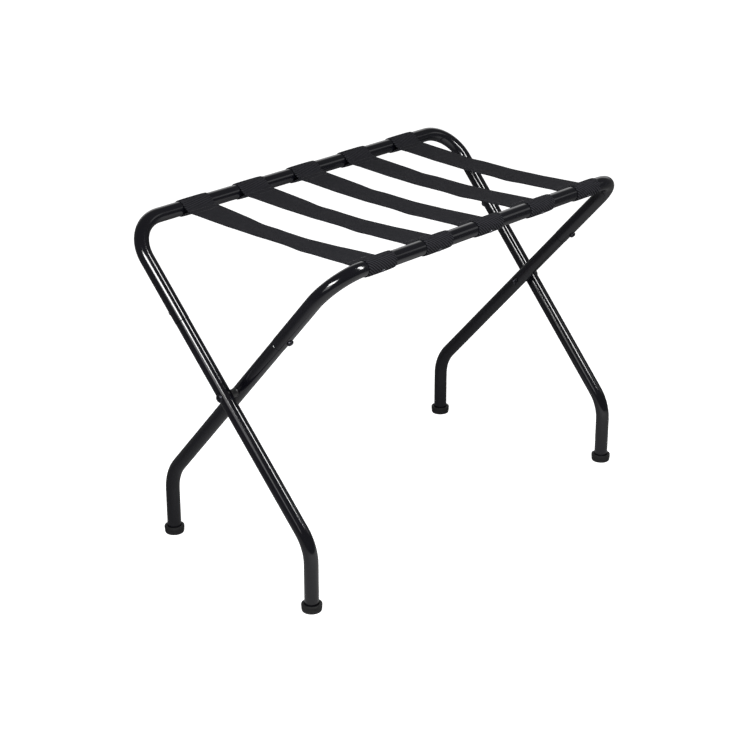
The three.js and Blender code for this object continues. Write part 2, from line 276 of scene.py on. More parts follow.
def zinc_plated_steel():
    """Zinc-plated steel inserts: pale grey metal with a soft spangle."""
    material, tree, shader = new_finish("zinc_plated_steel", metallic=1)
    place = node(tree, "ShaderNodeTexCoord").outputs["Object"]
    spangle = node(tree, "ShaderNodeTexVoronoi", {"Vector": place, "Scale": 1 / (1.5 * MM)})
    colour = node(
        tree,
        "ShaderNodeMix",
        {"Factor": spangle.outputs["Distance"], "A": linear("#b4b6bb"), "B": linear("#8e9096")},
        data_type="RGBA",
    )
    rough = node(
        tree,
        "ShaderNodeMapRange",
        {"Value": spangle.outputs["Distance"], "To Min": 0.3, "To Max": 0.48},
    )
    connect(tree, shader, colour, rough)
    return material


def moulded_rubber():
    """Black rubber feet, moulded: dull, faintly grained, with pale floor dust round the bottom."""
    material, tree, shader = new_finish("moulded_rubber", ior=1.52, specular_ior_level=0.3)
    place = node(tree, "ShaderNodeTexCoord").outputs["Object"]
    # Mould grain of about 0.5 mm, drawn at 1 mm so that it shows
    grain = node(tree, "ShaderNodeTexNoise", {"Vector": place, "Scale": 1 / (1 * MM), "Detail": 3})
    bloom = node(tree, "ShaderNodeTexNoise", {"Vector": place, "Scale": 1 / (9 * MM), "Detail": 5})
    height = node(tree, "ShaderNodeSeparateXYZ", {"Vector": place})
    near_floor = node(
        tree,
        "ShaderNodeMapRange",
        {"Value": height.outputs["Z"], "From Min": 0, "From Max": 5 * MM, "To Min": 0.8, "To Max": 0.15},
    )
    dusty = node(
        tree,
        "ShaderNodeMath",
        {0: near_floor.outputs["Result"], 1: bloom.outputs["Fac"]},
        operation="MULTIPLY",
    )
    colour = node(
        tree,
        "ShaderNodeMix",
        {"Factor": dusty.outputs["Value"], "A": linear("#0c0c0d"), "B": linear("#262628")},
        data_type="RGBA",
    )
    rough = node(
        tree,
        "ShaderNodeMapRange",
        {"Value": bloom.outputs["Fac"], "From Min": 0.3, "From Max": 0.7, "To Min": 0.55, "To Max": 0.75},
    )
    bump = node(
        tree,
        "ShaderNodeBump",
        {"Height": grain.outputs["Fac"], "Strength": 0.35, "Distance": 0.12 * MM},
    )
    connect(tree, shader, colour, rough, bump)
    return material


def moulded_nylon():
    """Black nylon spacers, moulded: a waxy half-gloss with the fine spark texture of the mould."""
    material, tree, shader = new_finish("moulded_nylon", ior=1.53)
    place = node(tree, "ShaderNodeTexCoord").outputs["Object"]
    spark = node(tree, "ShaderNodeTexNoise", {"Vector": place, "Scale": 1 / (0.8 * MM), "Detail": 2})
    colour = node(
        tree,
        "ShaderNodeMix",
        {"Factor": spark.outputs["Fac"], "A": linear("#09090b"), "B": linear("#131315")},
        data_type="RGBA",
    )
    rough = node(
        tree,
        "ShaderNodeMapRange",
        {"Value": spark.outputs["Fac"], "From Min": 0.3, "From Max": 0.7, "To Min": 0.38, "To Max": 0.52},
    )
    bump = node(
        tree,
        "ShaderNodeBump",
        {"Height": spark.outputs["Fac"], "Strength": 0.25, "Distance": 0.06 * MM},
    )
    connect(tree, shader, colour, rough, bump)
    return material


def woven_webbing():
    """Black polypropylene webbing in a steep twill: matt, with rounded slanting ribs, and painted shade
    that darkens the gaps between them.

    The piece's UV map is in metres: U across the strap and V along it.
    """
    material, tree, shader = new_finish("woven_webbing", ior=1.49, specular_ior_level=0.06)
    flat = node(tree, "ShaderNodeUVMap", uv_map="cloth")
    across_along = node(tree, "ShaderNodeSeparateXYZ", {"Vector": flat.outputs["UV"]})
    # The ribs are about 2.5 mm apart; they are drawn at about twice that, so that they show
    across = node(
        tree,
        "ShaderNodeMath",
        {0: across_along.outputs["X"], 1: 1 / (5.2 * MM)},
        operation="MULTIPLY",
    )
    slanted = node(
        tree,
        "ShaderNodeMath",
        {0: across_along.outputs["Y"], 1: 1 / (4.5 * MM), 2: across.outputs["Value"]},
        operation="MULTIPLY_ADD",
    )
    yarn = node(tree, "ShaderNodeMath", {0: slanted.outputs["Value"], 1: 0.5}, operation="PINGPONG")
    height = node(
        tree,
        "ShaderNodeMapRange",
        {"Value": yarn.outputs["Value"], "From Min": 0.08, "From Max": 0.36},
        interpolation_type="SMOOTHSTEP",
    )
    fuzz = node(
        tree,
        "ShaderNodeTexNoise",
        {"Vector": flat.outputs["UV"], "Scale": 1 / (1.1 * MM), "Detail": 3},
    )
    wear = node(
        tree,
        "ShaderNodeTexNoise",
        {"Vector": flat.outputs["UV"], "Scale": 1 / (35 * MM), "Detail": 4},
    )
    lit = node(
        tree,
        "ShaderNodeMath",
        {0: fuzz.outputs["Fac"], 1: 0.5, 2: height.outputs["Result"]},
        operation="MULTIPLY_ADD",
    )
    shade = node(
        tree,
        "ShaderNodeMapRange",
        {"Value": lit.outputs["Value"], "From Min": 0.1, "From Max": 1.35},
    )
    # Painted shade: the colour follows the ribs' height, near black in the gaps and grey on the rib tops;
    # the fuzz adds real tone.
    yarn_tone_and_gap_shade = node(
        tree,
        "ShaderNodeMix",
        {"Factor": shade.outputs["Result"], "A": linear("#020203"), "B": linear("#29292d")},
        data_type="RGBA",
    )
    worn = node(
        tree,
        "ShaderNodeMapRange",
        {"Value": wear.outputs["Fac"], "From Min": 0.35, "From Max": 0.75, "To Min": 0, "To Max": 0.08},
    )
    colour = node(
        tree,
        "ShaderNodeMix",
        {"Factor": worn.outputs["Result"], "A": yarn_tone_and_gap_shade.outputs["Result"], "B": linear("#323236")},
        data_type="RGBA",
    )
    rough = node(
        tree,
        "ShaderNodeMapRange",
        {"Value": height.outputs["Result"], "To Min": 0.92, "To Max": 0.7},
    )
    bump = node(
        tree,
        "ShaderNodeBump",
        {"Height": lit.outputs["Value"], "Strength": 0.9, "Distance": 0.6 * MM},
    )
    connect(tree, shader, colour, rough, bump)
    return material


def bonded_thread():
    """Bonded polyester sewing thread: black, twisted, with a slight shine."""
    material, tree, shader = new_finish("bonded_thread", ior=1.54)
    place = node(tree, "ShaderNodeTexCoord").outputs["Object"]
    # The twist of the thread is about 0.6 mm
    twist = node(tree, "ShaderNodeTexWave", {"Vector": place, "Scale": 1 / (12 * MM), "Distortion": 2})
    colour = node(
        tree,
        "ShaderNodeMix",
        {"Factor": twist.outputs["Fac"], "A": linear("#111113"), "B": linear("#2a2a2d")},
        data_type="RGBA",
    )
    rough = node(
        tree,
        "ShaderNodeMapRange",
        {"Value": twist.outputs["Fac"], "To Min": 0.5, "To Max": 0.7},
    )
    bump = node(
        tree,
        "ShaderNodeBump",
        {"Height": twist.outputs["Fac"], "Strength": 0.4, "Distance": 0.1 * MM},
    )
    connect(tree, shader, colour, rough, bump)
    return material


ENAMEL = gloss_enamel()
OXIDE = black_oxide_steel()
NICKEL = black_nickel()
ZINC = zinc_plated_steel()
RUBBER = moulded_rubber()
NYLON = moulded_nylon()
WEBBING = woven_webbing()
THREAD = bonded_thread()


# ---- Bench tools ----


def deselect():
    if bpy.context.object and bpy.context.object.mode != "OBJECT":
        bpy.ops.object.mode_set(mode="OBJECT")
    bpy.ops.object.select_all(action="DESELECT")


def begin(name):
    """Names the new primitive and opens it for editing, selected all over."""
    piece = bpy.context.object
    piece.name = name
    bpy.ops.object.mode_set(mode="EDIT")
    bpy.ops.mesh.select_all(action="SELECT")
    return piece


def only(piece):
    deselect()
    piece.select_set(True)
    bpy.context.view_layer.objects.active = piece


def face_outwards(piece):
    only(piece)
    bpy.ops.object.mode_set(mode="EDIT")
    bpy.ops.mesh.select_all(action="SELECT")
    bpy.ops.mesh.remove_doubles(threshold=0.001 * MM)
    bpy.ops.mesh.normals_make_consistent(inside=False)
    bpy.ops.object.mode_set(mode="OBJECT")


def apply_modifier(piece, kind, **settings):
    only(piece)
    modifier = piece.modifiers.new(kind.title(), kind)
    for key, value in settings.items():
        setattr(modifier, key, value)
    bpy.ops.object.modifier_apply(modifier=modifier.name)


def smooth(piece, degrees=35):
    only(piece)
    bpy.ops.object.shade_smooth_by_angle(angle=math.radians(degrees))


def settle(piece, place):
    """Moves the piece to its place and leaves that place in its mesh."""
    only(piece)
    piece.matrix_world = place
    bpy.ops.object.transform_apply(location=True, rotation=True, scale=True)
    if place.determinant() < 0:
        face_outwards(piece)
    return piece


def copy_of(piece, name):
    twin = piece.copy()
    twin.data = piece.data.copy()
    twin.name = name
    bpy.context.scene.collection.objects.link(twin)
    return twin


def clear_away(piece):
    bpy.data.objects.remove(piece, do_unlink=True)


def draw_out(step):
    bpy.ops.mesh.extrude_region_move(TRANSFORM_OT_translate={"value": step})


def finish_as(piece, material, slot, body, *solids):
    piece.data.materials.clear()
    piece.data.materials.append(material)
    if solids:
        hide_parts(*solids)
    if body:
        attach(piece, body)
    return piece


def turned(name, profile, sides=48):
    """A disc drawn up through each (radius, height) of a profile, and closed."""
    deselect()
    radius, height = profile[0]
    bpy.ops.mesh.primitive_circle_add(
        vertices=sides, radius=radius, fill_type="NGON", location=(0, 0, height)
    )
    piece = begin(name)
    for next_radius, next_height in profile[1:]:
        draw_out((0, 0, next_height - height))
        share = next_radius / radius
        bpy.ops.transform.resize(value=(share, share, share), center_override=(0, 0, next_height))
        radius, height = next_radius, next_height
    bpy.ops.object.mode_set(mode="OBJECT")
    bpy.ops.object.transform_apply(location=True, rotation=True, scale=True)
    face_outwards(piece)
    return piece


def bend_of(before, corner, after, radius):
    """Start, centre, axis and angle of the round bend at a corner."""
    into = (corner - before).normalized()
    away = (after - corner).normalized()
    angle = into.angle(away)
    start = corner - into * radius * math.tan(angle / 2)
    axis = into.cross(away).normalized()
    return start, start + axis.cross(into) * radius, axis, angle


def bent_tube(name, corners, radius, bend_radius, bend_steps, neck=None):
    """A ring drawn along straight runs and spun round the bends between them, then given its wall.

    neck is (radius, length) of a narrower first stretch that slides into the next tube.
    """
    deselect()
    along = (corners[1] - corners[0]).normalized()
    first = neck[0] if neck else radius
    bpy.ops.mesh.primitive_circle_add(
        vertices=TUBE_SIDES,
        radius=first,
        location=corners[0],
        rotation=along.to_track_quat("Z", "Y").to_euler(),
    )
    piece = begin(name)
    here = corners[0].copy()
    if neck:
        chamfer = 0.5 * MM
        draw_out(along * neck[1])
        here = here + along * neck[1]
        bpy.ops.mesh.extrude_region_move()
        wide = (radius - chamfer) / first
        bpy.ops.transform.resize(value=(wide, wide, wide), center_override=here)
        draw_out(along * chamfer)
        here = here + along * chamfer
        wide = radius / (radius - chamfer)
        bpy.ops.transform.resize(value=(wide, wide, wide), center_override=here)
    for before, corner, after in zip(corners, corners[1:], corners[2:]):
        start, centre, axis, angle = bend_of(before, corner, after, bend_radius)
        draw_out(start - here)
        bpy.ops.mesh.spin(steps=bend_steps, angle=-angle, center=centre, axis=axis)
        here = centre + Matrix.Rotation(angle, 3, axis) @ (start - centre)
    draw_out(corners[-1] - here)
    bpy.ops.object.mode_set(mode="OBJECT")
    bpy.ops.object.transform_apply(location=True, rotation=True, scale=True)
    face_outwards(piece)
    apply_modifier(piece, "SOLIDIFY", thickness=TUBE_WALL, offset=-1, use_even_offset=True)
    apply_modifier(
        piece, "BEVEL", width=0.3 * MM, segments=2, limit_method="ANGLE", angle_limit=math.radians(50)
    )
    return piece


# ---- Frames ----


def frame_place(label):
    """From a frame drawn upright about its pivot to its place in the rack."""
    turn = Matrix.Rotation(math.pi if label == "inner" else 0, 4, "Z")
    return Matrix.Translation(PIVOT) @ turn @ Matrix.Rotation(-TILT, 4, "X")


def leg_point(half_width, side, along):
    inset = LEG_LEAN * (LEG_ABOVE_PIVOT - along) / LEG_LENGTH
    return Vector((side * (half_width - inset), 0, along))


def rail_tube(name, half_width):
    """The bent upper tube: a rail with a leg stub down each side."""
    corners = [
        leg_point(half_width, -1, JOINT_ALONG),
        leg_point(half_width, -1, LEG_ABOVE_PIVOT),
        leg_point(half_width, 1, LEG_ABOVE_PIVOT),
        leg_point(half_width, 1, JOINT_ALONG),
    ]
    piece = bent_tube(name, corners, TUBE_RADIUS, CORNER_RADIUS, 22)
    smooth(piece, TUBE_CREASE)
    return piece


def leg_tube():
    """A lower leg on the right, about its pivot: necked at the top, and bent down at the knee."""
    neck_radius = TUBE_RADIUS - TUBE_WALL - SLIP_GAP
    knee = leg_point(PIVOT_INSET, 1, -LEG_BELOW_PIVOT)
    down = Vector((0, math.sin(TILT), -math.cos(TILT)))
    corners = [
        leg_point(PIVOT_INSET, 1, JOINT_ALONG + NECK_LENGTH),
        knee,
        knee + down * (KNEE_HEIGHT - FOOT_FLOOR),
    ]
    piece = bent_tube(
        "leg_pattern", corners, LEG_RADIUS, KNEE_RADIUS, 12, neck=(neck_radius, NECK_LENGTH + JOINT_GAP)
    )
    smooth(piece, TUBE_CREASE)
    return piece


def socket_head(name, head_radius, head_height, shank_length):
    """A button-head screw on its washer face, with a hexagon socket, pointing up."""
    shank = 3 * MM
    profile = [
        (shank - 0.4 * MM, -shank_length),
        (shank, -shank_length + 0.4 * MM),
        (shank, 0),
        (head_radius - 0.2 * MM, 0),
        (head_radius, 0.2 * MM),
        (head_radius, 0.28 * head_height),
        (0.93 * head_radius, 0.36 * head_height),
        (0.86 * head_radius, 0.38 * head_height),
        (0.83 * head_radius, 0.6 * head_height),
        (0.74 * head_radius, 0.82 * head_height),
        (0.6 * head_radius, 0.95 * head_height),
        (0.46 * head_radius, head_height),
    ]
    piece = turned(name, profile, 36)
    cut_socket(piece, 2.2 * MM, head_height)
    smooth(piece, 40)
    return piece


def cut_socket(piece, radius, top):
    deselect()
    bpy.ops.mesh.primitive_cylinder_add(
        vertices=6, radius=radius, depth=3.2 * MM, location=(0, 0, top)
    )
    key = bpy.context.object
    bpy.ops.object.transform_apply(location=True, rotation=True, scale=True)
    apply_modifier(piece, "BOOLEAN", object=key, operation="DIFFERENCE", solver="EXACT")
    clear_away(key)
    apply_modifier(
        piece, "BEVEL", width=0.15 * MM, segments=1, limit_method="ANGLE", angle_limit=math.radians(55)
    )


def cap_nut(name):
    """A domed hexagon nut on its flange, pointing up."""
    dome = turned(
        name,
        [
            (3.3 * MM, 0),
            (6.3 * MM, 0),
            (6.5 * MM, 0.2 * MM),
            (6.5 * MM, 0.9 * MM),
            (6.1 * MM, 1.3 * MM),
            (5.0 * MM, 1.4 * MM),
            (4.9 * MM, 4.6 * MM),
            (4.6 * MM, 5.3 * MM),
            (3.7 * MM, 6.2 * MM),
            (2.3 * MM, 6.75 * MM),
            (0.8 * MM, 6.9 * MM),
        ],
        36,
    )
    deselect()
    bpy.ops.mesh.primitive_cylinder_add(
        vertices=6, radius=5.8 * MM, depth=3.3 * MM, location=(0, 0, 2.75 * MM)
    )
    hexagon = bpy.context.object
    bpy.ops.object.transform_apply(location=True, rotation=True, scale=True)
    apply_modifier(hexagon, "BEVEL", width=0.35 * MM, segments=2, limit_method="ANGLE")
    apply_modifier(dome, "BOOLEAN", object=hexagon, operation="UNION", solver="EXACT")
    clear_away(hexagon)
    smooth(dome, 40)
    return dome


def saddle_spacer(name, height):
    """A spacer that stands up from the inner leg, with its top hollowed to fit round the outer leg."""
    piece = turned(
        name,
        [
            (6.6 * MM, 0),
            (7 * MM, 0.4 * MM),
            (7 * MM, 1.6 * MM),
            (6.5 * MM, 2.1 * MM),
            (6.5 * MM, height),
        ],
    )
    deselect()
    bpy.ops.mesh.primitive_cylinder_add(
        vertices=64,
        radius=LEG_RADIUS + 0.1 * MM,
        depth=40 * MM,
        location=(0, 0, height - SADDLE_DEPTH + LEG_RADIUS),
        rotation=(math.pi / 2, 0, 0),
    )
    tube = bpy.context.object
    bpy.ops.object.transform_apply(location=True, rotation=True, scale=True)
    apply_modifier(piece, "BOOLEAN", object=tube, operation="DIFFERENCE", solver="EXACT")
    clear_away(tube)
    apply_modifier(
        piece, "BEVEL", width=0.3 * MM, segments=2, limit_method="ANGLE", angle_limit=math.radians(50)
    )
    smooth(piece)
    return piece


def foot_cup(name):
    """A rubber cup over the end of the leg: wider at its rim, with shallow ribs round it."""
    socket = LEG_RADIUS + 0.05 * MM
    profile = [
        (FOOT_RADIUS - 2.4 * MM, 0),
        (FOOT_RADIUS - 1.3 * MM, 0.35 * MM),
        (FOOT_RADIUS - 0.8 * MM, 1.2 * MM),
        (FOOT_RADIUS - 0.5 * MM, 3.2 * MM),
        (FOOT_RADIUS - 0.9 * MM, 3.5 * MM),
        (FOOT_RADIUS - 0.9 * MM, 4.0 * MM),
        (FOOT_RADIUS - 0.35 * MM, 4.3 * MM),
        (FOOT_RADIUS - 0.2 * MM, 6.3 * MM),
        (FOOT_RADIUS - 0.7 * MM, 6.6 * MM),
        (FOOT_RADIUS - 0.7 * MM, 7.1 * MM),
        (FOOT_RADIUS - 0.1 * MM, 7.4 * MM),
        (FOOT_RADIUS, FOOT_HEIGHT - 1.6 * MM),
        (FOOT_RADIUS - 0.25 * MM, FOOT_HEIGHT - 0.7 * MM),
        (FOOT_RADIUS - 0.9 * MM, FOOT_HEIGHT - 0.15 * MM),
        (FOOT_RADIUS - 1.7 * MM, FOOT_HEIGHT),
        (socket + 0.9 * MM, FOOT_HEIGHT - 0.1 * MM),
        (socket, FOOT_HEIGHT - 1 * MM),
        (socket, FOOT_FLOOR),
    ]
    piece = turned(name, profile, 64)
    smooth(piece, 30)
    return piece


def pivot_x(half_width):
    return half_width - PIVOT_INSET


def make_frame(label, half_width, body, sides, leg, screw, cup):
    """One frame: its rail tube, and on each side its leg, foot and joint screw."""
    place = frame_place(label)
    rail = settle(rail_tube(f"{label}_rail", half_width), place)
    finish_as(rail, ENAMEL, "enamel", body, f"{label}_rail_tube")
    for side_name, side in sides:
        part = settle(
            copy_of(leg, f"{label}_{side_name}_leg"),
            place
            @ Matrix.Translation((side * pivot_x(half_width), 0, 0))
            @ Matrix.Diagonal((side, 1, 1, 1)),
        )
        smooth(part, TUBE_CREASE)
        finish_as(part, ENAMEL, "enamel", body, f"{label}_leg_{side_name}")

        seat = leg_point(half_width, side, SCREW_ALONG) + Vector((0, TUBE_RADIUS + SEAT_GAP, 0))
        part = settle(
            copy_of(screw, f"{label}_{side_name}_joint_bolt"),
            place @ Matrix.Translation(seat) @ Matrix.Rotation(-math.pi / 2, 4, "X"),
        )
        finish_as(part, OXIDE, "black_steel", body, f"{label}_joint_screw_{side_name}")

        low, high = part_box(f"{label}_foot_{side_name}")
        under = Vector(((low.x + high.x) / 2, (low.y + high.y) / 2, low.z))
        part = settle(copy_of(cup, f"{label}_{side_name}_cup"), Matrix.Translation(under))
        finish_as(part, RUBBER, "foot_rubber", body, f"{label}_foot_{side_name}")

        insert = frame["nodes"][f"{label}_insert_nut_{side_name}"]
        insert.data.materials.clear()
        insert.data.materials.append(ZINC)


def make_pivot(side_name, side, bolt, nut, spacer):
    """Bolt, spacer and cap nut that join the two legs on one side."""
    outwards = Matrix.Rotation(side * math.pi / 2, 4, "Y")
    inwards = Matrix.Rotation(-side * math.pi / 2, 4, "Y")

    def at(x):
        return Matrix.Translation(PIVOT + Vector((side * x, 0, 0)))

    outer, inner = pivot_x(OUTER_HALF_WIDTH), pivot_x(INNER_HALF_WIDTH)
    part = settle(copy_of(bolt, f"pivot_{side_name}_bolt"), at(outer + LEG_RADIUS) @ outwards)
    finish_as(part, OXIDE, "black_steel", "outer_frame", f"pivot_bolt_{side_name}")
    part = settle(copy_of(nut, f"pivot_{side_name}_cap_nut"), at(inner - LEG_RADIUS) @ inwards)
    finish_as(part, OXIDE, "black_steel", "outer_frame", f"pivot_nut_{side_name}")
    # The hollow lies along the outer leg
    along_leg = Matrix.Rotation(-TILT, 4, "X") @ outwards @ Matrix.Rotation(math.pi / 2, 4, "Z")
    part = settle(copy_of(spacer, f"pivot_{side_name}_saddle"), at(inner + LEG_RADIUS) @ along_leg)
    finish_as(part, NYLON, "nylon", "outer_frame", f"pivot_spacer_{side_name}")


# ---- Straps ----


def line(start, end, step):
    """Evenly spaced points from start, short of end."""
    count = max(1, round((end - start).length / step))
    return [start.lerp(end, i / count) for i in range(count)]


def tangent_angles(radius, point):
    """Angles at which lines from a point touch a circle about the origin, above and below it."""
    bearing = math.atan2(point.y, point.x)
    spread = math.acos(radius / point.length)
    return bearing + spread, bearing - spread


def strap_course():
    """Side view of half a strap: from mid-span along the band, round the rail at the origin, and back."""
    step = 1.8 * MM
    ring = TUBE_RADIUS + LOOP_CLEARANCE + STRAP_THICK / 2
    ply = STRAP_THICK / 2
    seam_top = Vector((STRAP_SEAM, ply - SEAM_DROP))
    seam_bottom = Vector((STRAP_SEAM, -ply - SEAM_DROP - 0.1 * MM))
    tail = Vector((STRAP_TAIL, -ply - SEAM_DROP - 0.35 * MM))
    above = tangent_angles(ring, seam_top)[0]
    below = tangent_angles(ring, seam_bottom)[1] + 2 * math.pi
    count = round(ring * (below - above) / step)
    arc = [
        Vector((math.cos(a), math.sin(a))) * ring
        for a in (above + (below - above) * i / count for i in range(count + 1))
    ]
    middle = Vector((BACK_RAIL.y, -STRAP_DROP))
    flat = Vector((STRAP_FLAT_FROM, -STRAP_DROP))
    points = (
        line(middle, flat, step)
        + line(flat, seam_top, step)
        + line(seam_top, arc[0], step)
        + arc
        + line(arc[-1], seam_bottom, step)[1:]
        + line(seam_bottom, tail, step)
        + [tail]
    )
    # The webbing is stiff, so it turns each corner in a soft curve
    for _ in range(STIFFNESS):
        points = [
            point if i in (0, len(points) - 1) or point.x < ring
            else (points[i - 1] + point * 2 + points[i + 1]) / 4
            for i, point in enumerate(points)
        ]
    return points


COURSE = strap_course()


def course_length():
    return sum((b - a).length for a, b in zip(COURSE, COURSE[1:]))


def waist_of(index):
    """Width of a strap at mid-span. The first is drawn in most."""
    slack = (STRAP_COUNT - index) / (STRAP_COUNT - 1)
    return LOOSEST_WAIST + (TIGHTEST_WAIST - LOOSEST_WAIST) * slack**1.6


def half_width_at(distance, waist):
    """Half the strap's width at a distance from the rail's axis."""
    share = max(0, min(1, (distance - NARROWS_FROM) / (BACK_RAIL.y - NARROWS_FROM)))
    ease = (1 - math.cos(math.pi * share)) / 2
    return (STRAP_WIDTH + (waist - STRAP_WIDTH) * ease) / 2


def half_strap(name, waist, drift):
    """Half a strap on a rail at the origin, along +X. drift is how far mid-span lies to its left."""
    deselect()
    rows = len(COURSE) - 1
    bpy.ops.mesh.primitive_grid_add(x_subdivisions=14, y_subdivisions=rows, size=1)
    piece = bpy.context.object
    piece.name = name
    mesh = piece.data
    cloth = mesh.uv_layers.active
    cloth.name = "cloth"
    length = course_length()
    for corner in cloth.data:
        corner.uv = (corner.uv.x * STRAP_WIDTH, corner.uv.y * length)
    for vertex in mesh.vertices:
        across = vertex.co.x * 2
        i = round((vertex.co.y + 0.5) * rows)
        point = COURSE[i]
        run = (COURSE[min(i + 1, rows)] - COURSE[max(i - 1, 0)]).normalized()
        outwards = Vector((run.y, -run.x))
        # The selvedges roll in a little, and the band ripples between its ends
        travel = i / rows
        roll = -0.45 * MM * across**4
        swell = math.sin(math.pi * min(1, travel * 2.6))
        ripple = 0.5 * MM * math.sin(6.5 * math.pi * travel) * across * swell
        point = point + outwards * (roll + (ripple if travel < 0.5 else 0))
        reach = max(0, min(1, point.x / BACK_RAIL.y))
        vertex.co = (point.x, across * half_width_at(point.x, waist) + drift * reach, point.y)
    face_outwards_from_rail(piece)
    apply_modifier(piece, "SOLIDIFY", thickness=STRAP_THICK, offset=0, use_even_offset=True)
    soften_selvedges(piece)
    smooth(piece, 40)
    return piece


def face_outwards_from_rail(piece):
    """Turns the sheet's faces away from the rail, by the face at the top of the loop."""
    top = max(piece.data.polygons, key=lambda face: face.center.z)
    if top.normal.z < 0:
        only(piece)
        bpy.ops.object.mode_set(mode="EDIT")
        bpy.ops.mesh.select_all(action="SELECT")
        bpy.ops.mesh.flip_normals()
        bpy.ops.object.mode_set(mode="OBJECT")


def soften_selvedges(piece):
    """Rounds the long edges of the strap, and leaves its two ends square."""
    shape = bmesh.new()
    shape.from_mesh(piece.data)
    weight = shape.edges.layers.float.new("bevel_weight_edge")
    for edge in shape.edges:
        run = (edge.verts[0].co - edge.verts[1].co).normalized()
        if len(edge.link_faces) == 2 and edge.calc_face_angle() > 1 and abs(run.y) < 0.5:
            edge[weight] = 1
    shape.to_mesh(piece.data)
    shape.free()
    apply_modifier(piece, "BEVEL", width=0.5 * MM, segments=2, limit_method="WEIGHT")


def surface_at(distance, underneath):
    """Place and slope of the strap's outer face at a distance from the rail's axis, on either ply."""
    top = next(i for i, point in enumerate(COURSE) if point.x < 0)
    plies = range(top, len(COURSE) - 1) if underneath else range(top)
    i = min(plies, key=lambda k: abs(COURSE[k].x - distance))
    run = (COURSE[i + 1] - COURSE[i - 1]).normalized()
    outwards = Vector((run.y, -run.x))
    return COURSE[i] + outwards * STRAP_THICK / 2, math.atan2(outwards.x, outwards.y)


def stitch_rows(name, waist, drift):
    """Lines of lock stitches across the sewn overlap, on both faces, about the rail at the origin."""
    pitch, rise, tip = 3.9 * MM, 0.28 * MM, 0.1 * MM
    bulge = (rise * 1.15, 0)
    stitch = turned(
        "stitch",
        [(tip, -1.7 * MM), (rise, -1.2 * MM), bulge, (rise, 1.2 * MM), (tip, 1.7 * MM)],
        6,
    )
    lying = Matrix.Rotation(math.pi / 2, 4, "X")
    copies = []
    for distance in (STRAP_SEAM + 3 * MM, STRAP_TAIL - 4 * MM):
        for underneath in (False, True):
            place, slope = surface_at(distance, underneath)
            half = half_width_at(distance, waist) - 3 * MM
            count = round(2 * half / pitch)
            for k in range(count + 1):
                across = -half + 2 * half * k / count + drift * distance / BACK_RAIL.y
                spot = Matrix.Translation((place.x, across, place.y)) @ Matrix.Rotation(slope, 4, "Y")
                copies.append(settle(copy_of(stitch, "stitch"), spot @ lying))
    clear_away(stitch)
    only(copies[0])
    for one in copies:
        one.select_set(True)
    bpy.ops.object.join()
    piece = bpy.context.object
    piece.name = name
    smooth(piece, 60)
    return piece


def strap_rivet():
    """A domed rivet on a thin washer, pointing up."""
    piece = turned(
        "rivet_pattern",
        [
            (3.1 * MM, -1.2 * MM),
            (3.3 * MM, 0.1 * MM),
            (3.3 * MM, 0.35 * MM),
            (3.0 * MM, 0.55 * MM),
            (2.4 * MM, 0.6 * MM),
            (2.3 * MM, 0.9 * MM),
            (1.9 * MM, 1.35 * MM),
            (1.2 * MM, 1.6 * MM),
            (0.4 * MM, 1.7 * MM),
        ],
        24,
    )
    smooth(piece, 40)
    return piece


def make_strap(index, rivet):
    """One strap in two halves that meet at mid-span, each with its stitching and its loop's rivet."""
    waist = waist_of(index)
    slip = FRONT_LOOP_SLIP[index - 1]
    back_x = STRAP_SHIFT + STRAP_PITCH * (index - (STRAP_COUNT + 1) / 2)
    halves = [
        ("back", -1, back_x, BACK_RAIL, "outer_frame", "back_straps", "outer_rail"),
        ("front", 1, back_x + slip, FRONT_RAIL, "inner_frame", "front_straps", "inner_rail"),
    ]
    for end, towards, x, rail, body, hanging, rail_piece in halves:
        # Seen from either rail, mid-span lies half the slip to the strap's left
        drift = slip / 2
        place = Matrix.Translation((x, rail.y, rail.z)) @ Matrix.Rotation(towards * math.pi / 2, 4, "Z")

        band = settle(half_strap(f"strap_{index}_{end}_half", waist, drift), place)
        finish_as(band, WEBBING, "webbing", None, f"strap_{index}_{end}")
        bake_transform(band)

        seam = settle(stitch_rows(f"strap_{index}_{end}_stitches", waist, drift), place)
        finish_as(seam, THREAD, "webbing", None)
        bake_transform(seam)

        # The rivet sits low on the outside of the loop
        below = Matrix.Rotation(math.radians(-90 - RIVET_BELOW), 4, "Y")
        lift = Matrix.Translation((0, 0, TUBE_RADIUS + LOOP_CLEARANCE + STRAP_THICK))
        head = settle(copy_of(rivet, f"strap_{index}_{end}_rivet"), place @ below @ lift)
        finish_as(head, NICKEL, "black_steel", body)


# ---- Studio ----


def aim(thing, target):
    thing.rotation_euler = (target - thing.location).to_track_quat("-Z", "Y").to_euler()


def softbox(name, place, width, height, watts):
    bpy.ops.object.light_add(type="AREA", location=place)
    light = bpy.context.object
    light.name = name
    light.data.shape = "RECTANGLE"
    light.data.size, light.data.size_y = width, height
    light.data.energy = watts
    light.visible_camera = False
    aim(light, Vector((0, 0, PIVOT.z)))


def share_between(tree, value, low, high, start, stop):
    """A soft step of a value: start below low, and stop above high."""
    step = node(
        tree,
        "ShaderNodeMapRange",
        {"Value": value, "From Min": low, "From Max": high, "To Min": start, "To Max": stop},
        interpolation_type="SMOOTHSTEP",
    )
    return step.outputs["Result"]


def stage_piece(name, material, **hidden_from):
    """Names a new primitive as part of the studio, and hides it from some kinds of ray."""
    piece = bpy.context.object
    piece.name = name
    bpy.ops.object.transform_apply(location=True, rotation=True, scale=True)
    piece.data.materials.append(material)
    for kind, seen in hidden_from.items():
        setattr(piece, f"visible_{kind}", seen)


def glowing_card(name, strength, colour="#000000"):
    """Matt card that gives off white light of its own."""
    material, tree, shader = new_finish(
        name, roughness=0.9, base_color=linear(colour), emission_strength=strength
    )
    shader.inputs["Emission Color"].default_value = linear("#ffffff")
    return material, tree, shader


